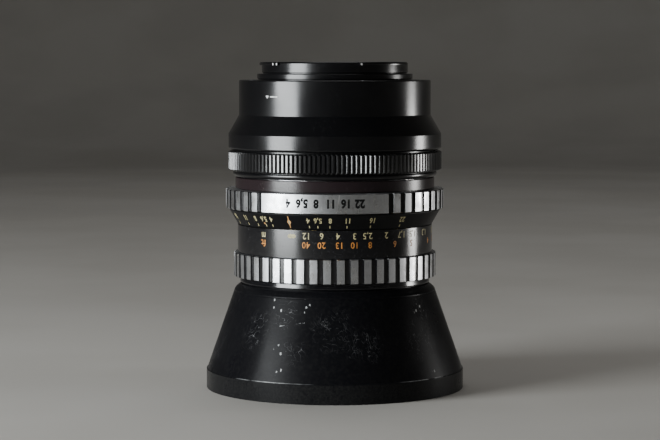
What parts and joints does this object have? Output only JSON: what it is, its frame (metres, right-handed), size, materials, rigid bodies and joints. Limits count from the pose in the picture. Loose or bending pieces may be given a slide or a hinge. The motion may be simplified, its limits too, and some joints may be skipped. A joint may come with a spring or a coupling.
{
  "type": "prime camera lens",
  "caption": "Wide prime lens with fluted focus and aperture rings, a conical front barrel and a mount adapter locked on its rear, standing on its front rim.",
  "frame": {"origin": "on the optical axis, in the plane of the front rim, which the lens stands on", "axes": "+Z along the optical axis towards the camera side; the index mark faces -Y"},
  "size_m": [0.0936, 0.0936, 0.1179],
  "materials": {
    "black_anodise": "satin black anodised",
    "black_lacquer": "glossy black lacquer, worn and scratched",
    "brushed_silver": "satin turned aluminium lands between black grooves",
    "brown_anodise": "satin brown-black anodised",
    "coated_glass": "polished and single coated",
    "brass": "turned, greased",
    "steel": "turned and ground",
    "blade_steel": "blued spring steel"
  },
  "bodies": {
    "front_unit": {"front_cone_barrel": "black_lacquer", "front_name_ring": "black_anodise", "front_retaining_ring": "black_anodise", "front_neck_ring": "black_lacquer", "lens_element_1": "coated_glass", "lens_element_2": "coated_glass", "lens_element_3": "coated_glass", "lens_element_4": "coated_glass", "lens_element_5": "coated_glass", "lens_element_6": "coated_glass", "lens_element_7": "coated_glass", "front_group_cell": "black_anodise", "spacer_1": "black_anodise", "spacer_2": "black_anodise", "spacer_3": "black_anodise", "front_cell_retainer": "black_anodise", "rear_group_cell": "black_anodise", "rear_retaining_ring": "black_anodise", "inner_barrel": "brass", "iris_base_plate": "black_anodise", "iris_retaining_ring": "black_anodise"},
    "lens_base": {"helicoid_key": "steel", "base_barrel": "brass", "focus_retaining_ring": "steel", "depth_of_field_ring": "black_lacquer", "rear_housing": "brown_anodise", "focus_stop_block": "steel", "detent_ball": "steel", "detent_spring": "steel", "rear_breech_ring": "steel", "mount_locating_pin": "steel", "stop_down_spring": "steel", "pin_carrier_plate": "black_anodise", "adapter_body": "black_anodise", "adapter_baffle_sleeve": "black_anodise", "camera_bayonet_ring": "black_anodise", "bayonet_screw_1": "steel", "bayonet_screw_2": "steel", "bayonet_screw_3": "steel", "bayonet_screw_4": "steel"},
    "focus_ring": {"focus_grip_ring": "brushed_silver", "focus_grub_screw_1": "steel", "focus_grub_screw_2": "steel", "focus_grub_screw_3": "steel", "distance_scale_sleeve": "black_lacquer", "focus_helicoid_nut": "brass", "focus_stop_pin": "steel"},
    "aperture_ring": {"aperture_ring": "brushed_silver", "aperture_fork": "steel"},
    "iris_rotor": {"iris_rotor": "brass"},
    "lock_ring": {"lock_ring": "black_anodise", "lock_ring_lip": "black_anodise"},
    "stop_down_pin": {"stop_down_pin": "steel"},
    "iris_blade_1": {"iris_blade_1": "blade_steel"},
    "iris_blade_2": {"iris_blade_2": "blade_steel"},
    "iris_blade_3": {"iris_blade_3": "blade_steel"},
    "iris_blade_4": {"iris_blade_4": "blade_steel"},
    "iris_blade_5": {"iris_blade_5": "blade_steel"},
    "iris_blade_6": {"iris_blade_6": "blade_steel"}
  },
  "joints": [
    {"name": "base_travel", "type": "slide", "parent": "front_unit", "child": "lens_base", "axis": [0, 0, 1], "range_m": [0, 0.00635]},
    {"name": "focus_turn", "type": "hinge", "parent": "lens_base", "child": "focus_ring", "pos_m": [0, 0, 0.045], "axis": [0, 0, -1], "range_deg": [0, 272.6]},
    {"name": "aperture_turn", "type": "hinge", "parent": "lens_base", "child": "aperture_ring", "pos_m": [0, 0, 0.0688], "axis": [0, 0, -1], "range_deg": [0, 37]},
    {"name": "iris_rotor_turn", "type": "hinge", "parent": "front_unit", "child": "iris_rotor", "pos_m": [0, 0, 0.0672], "axis": [0, 0, -1], "range_deg": [0, 37.1]},
    {"name": "lock_ring_turn", "type": "hinge", "parent": "lens_base", "child": "lock_ring", "pos_m": [0, 0, 0.0825], "axis": [0, 0, 1], "range_deg": [0, 60]},
    {"name": "stop_down_travel", "type": "slide", "parent": "lens_base", "child": "stop_down_pin", "axis": [0, 0, -1], "range_m": [0, 0.002], "stiffness_N_per_m": 200, "springref_m": -0.004, "deforming": ["stop_down_spring"]},
    {"name": "iris_blade_1_swing", "type": "hinge", "parent": "front_unit", "child": "iris_blade_1", "pos_m": [0, -0.0188, 0.0642], "axis": [0, 0, 1], "range_deg": [0, 24.5]},
    {"name": "iris_blade_2_swing", "type": "hinge", "parent": "front_unit", "child": "iris_blade_2", "pos_m": [0.01628, -0.0094, 0.0642], "axis": [0, 0, 1], "range_deg": [0, 24.5]},
    {"name": "iris_blade_3_swing", "type": "hinge", "parent": "front_unit", "child": "iris_blade_3", "pos_m": [0.01628, 0.0094, 0.0642], "axis": [0, 0, 1], "range_deg": [0, 24.5]},
    {"name": "iris_blade_4_swing", "type": "hinge", "parent": "front_unit", "child": "iris_blade_4", "pos_m": [0, 0.0188, 0.0642], "axis": [0, 0, 1], "range_deg": [0, 24.5]},
    {"name": "iris_blade_5_swing", "type": "hinge", "parent": "front_unit", "child": "iris_blade_5", "pos_m": [-0.01628, 0.0094, 0.0642], "axis": [0, 0, 1], "range_deg": [0, 24.5]},
    {"name": "iris_blade_6_swing", "type": "hinge", "parent": "front_unit", "child": "iris_blade_6", "pos_m": [-0.01628, -0.0094, 0.0642], "axis": [0, 0, 1], "range_deg": [0, 24.5]}
  ],
  "couplings": [
    {"joint": "focus_turn", "follows": "base_travel", "rad_per_m": 748.89},
    {"joint": "iris_rotor_turn", "follows": "aperture_turn", "ratio": 1},
    {"joint": "iris_blade_1_swing", "follows": "aperture_turn", "ratio": 0.65897},
    {"joint": "iris_blade_2_swing", "follows": "aperture_turn", "ratio": 0.65897},
    {"joint": "iris_blade_3_swing", "follows": "aperture_turn", "ratio": 0.65897},
    {"joint": "iris_blade_4_swing", "follows": "aperture_turn", "ratio": 0.65897},
    {"joint": "iris_blade_5_swing", "follows": "aperture_turn", "ratio": 0.65897},
    {"joint": "iris_blade_6_swing", "follows": "aperture_turn", "ratio": 0.65897}
  ]
}
